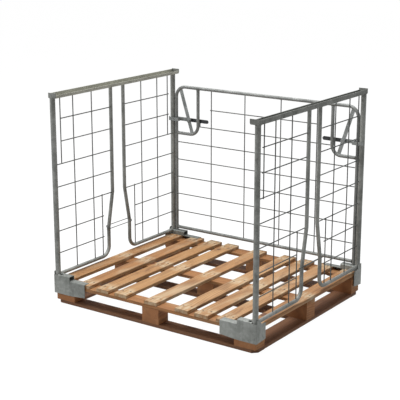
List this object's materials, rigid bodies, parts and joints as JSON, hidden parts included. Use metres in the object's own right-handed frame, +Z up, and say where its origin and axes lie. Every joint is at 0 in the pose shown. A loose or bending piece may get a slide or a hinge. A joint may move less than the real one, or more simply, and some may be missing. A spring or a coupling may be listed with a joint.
{
  "type": "stackable pallet cage",
  "caption": "Timber pallet with a lift-off galvanised cage: mesh side panels under stacking rails, an open front and a rear mesh gate held by turning latches.",
  "frame": {"origin": "middle of the pallet's underside, on the floor", "axes": "+X to the right along the open front edge, +Y from the open front to the rear gate, +Z up"},
  "size_m": [1.22, 1.02, 1.079],
  "materials": {
    "deck_timber": "sawn softwood",
    "base_timber": "sawn softwood, stained",
    "nail_steel": "dull",
    "galvanised_steel": "hot-dip galvanised, matt",
    "wire_steel": "galvanised wire",
    "lever_steel": "dark, satin",
    "plug_plastic": "black, moulded"
  },
  "bodies": {
    "pallet": {"deck_board_1": "deck_timber", "deck_board_2": "deck_timber", "deck_board_3": "deck_timber", "deck_board_4": "deck_timber", "deck_board_5": "deck_timber", "deck_board_6": "deck_timber", "deck_board_7": "deck_timber", "deck_board_8": "deck_timber", "deck_board_9": "deck_timber", "stringer_front": "deck_timber", "stringer_middle": "deck_timber", "stringer_rear": "deck_timber", "blocks_front": "base_timber", "blocks_middle": "base_timber", "blocks_rear": "base_timber", "base_board_front": "base_timber", "base_board_rear": "base_timber", "base_board_left": "base_timber", "base_board_middle": "base_timber", "base_board_right": "base_timber", "deck_nails": "nail_steel"},
    "cage": {"bracket_front_left": "galvanised_steel", "bracket_front_right": "galvanised_steel", "bracket_rear_left": "galvanised_steel", "bracket_rear_right": "galvanised_steel", "post_front_left": "galvanised_steel", "post_front_right": "galvanised_steel", "post_rear_left": "galvanised_steel", "post_rear_right": "galvanised_steel", "stacking_rail_left": "galvanised_steel", "stacking_rail_right": "galvanised_steel", "rail_end_plates": "galvanised_steel", "post_plugs": "plug_plastic", "side_tube_front_left": "galvanised_steel", "side_tube_front_right": "galvanised_steel", "side_tube_rear_left": "galvanised_steel", "side_tube_rear_right": "galvanised_steel", "side_mesh_front_left": "wire_steel", "side_mesh_front_right": "wire_steel", "side_mesh_rear_left": "wire_steel", "side_mesh_rear_right": "wire_steel"},
    "tie_loop_left": {"tie_loop_left": "wire_steel"},
    "tie_loop_right": {"tie_loop_right": "wire_steel"},
    "gate": {"gate_frame": "galvanised_steel", "gate_bottom_tube": "galvanised_steel", "gate_mesh": "wire_steel", "hand_hole_tube_left": "galvanised_steel", "hand_hole_tube_right": "galvanised_steel", "latch_brace_left": "galvanised_steel", "latch_brace_right": "galvanised_steel", "latch_keeper_left": "galvanised_steel", "latch_keeper_right": "galvanised_steel", "latch_pivot_left": "galvanised_steel", "latch_pivot_right": "galvanised_steel"},
    "latch_left": {"latch_lever_left": "lever_steel", "latch_tongue_left": "galvanised_steel"},
    "latch_right": {"latch_lever_right": "lever_steel", "latch_tongue_right": "galvanised_steel"}
  },
  "joints": [
    {"name": "cage_lift", "type": "slide", "parent": "pallet", "child": "cage", "axis": [0, 0, 1], "range_m": [0, 0.13]},
    {"name": "tie_loop_left_slide", "type": "slide", "parent": "cage", "child": "tie_loop_left", "axis": [0, 0, 1], "range_m": [0, 0.16]},
    {"name": "tie_loop_right_slide", "type": "slide", "parent": "cage", "child": "tie_loop_right", "axis": [0, 0, 1], "range_m": [0, 0.16]},
    {"name": "gate_lift", "type": "slide", "parent": "cage", "child": "gate", "axis": [0, 0, 1], "range_m": [0, 0.05]},
    {"name": "latch_left_turn", "type": "hinge", "parent": "gate", "child": "latch_left", "pos_m": [-0.4845, 0.5065, 0.799], "axis": [0, -1, 0], "range_deg": [0, 80]},
    {"name": "latch_right_turn", "type": "hinge", "parent": "gate", "child": "latch_right", "pos_m": [0.4845, 0.5065, 0.799], "axis": [0, 1, 0], "range_deg": [0, 80]}
  ]
}
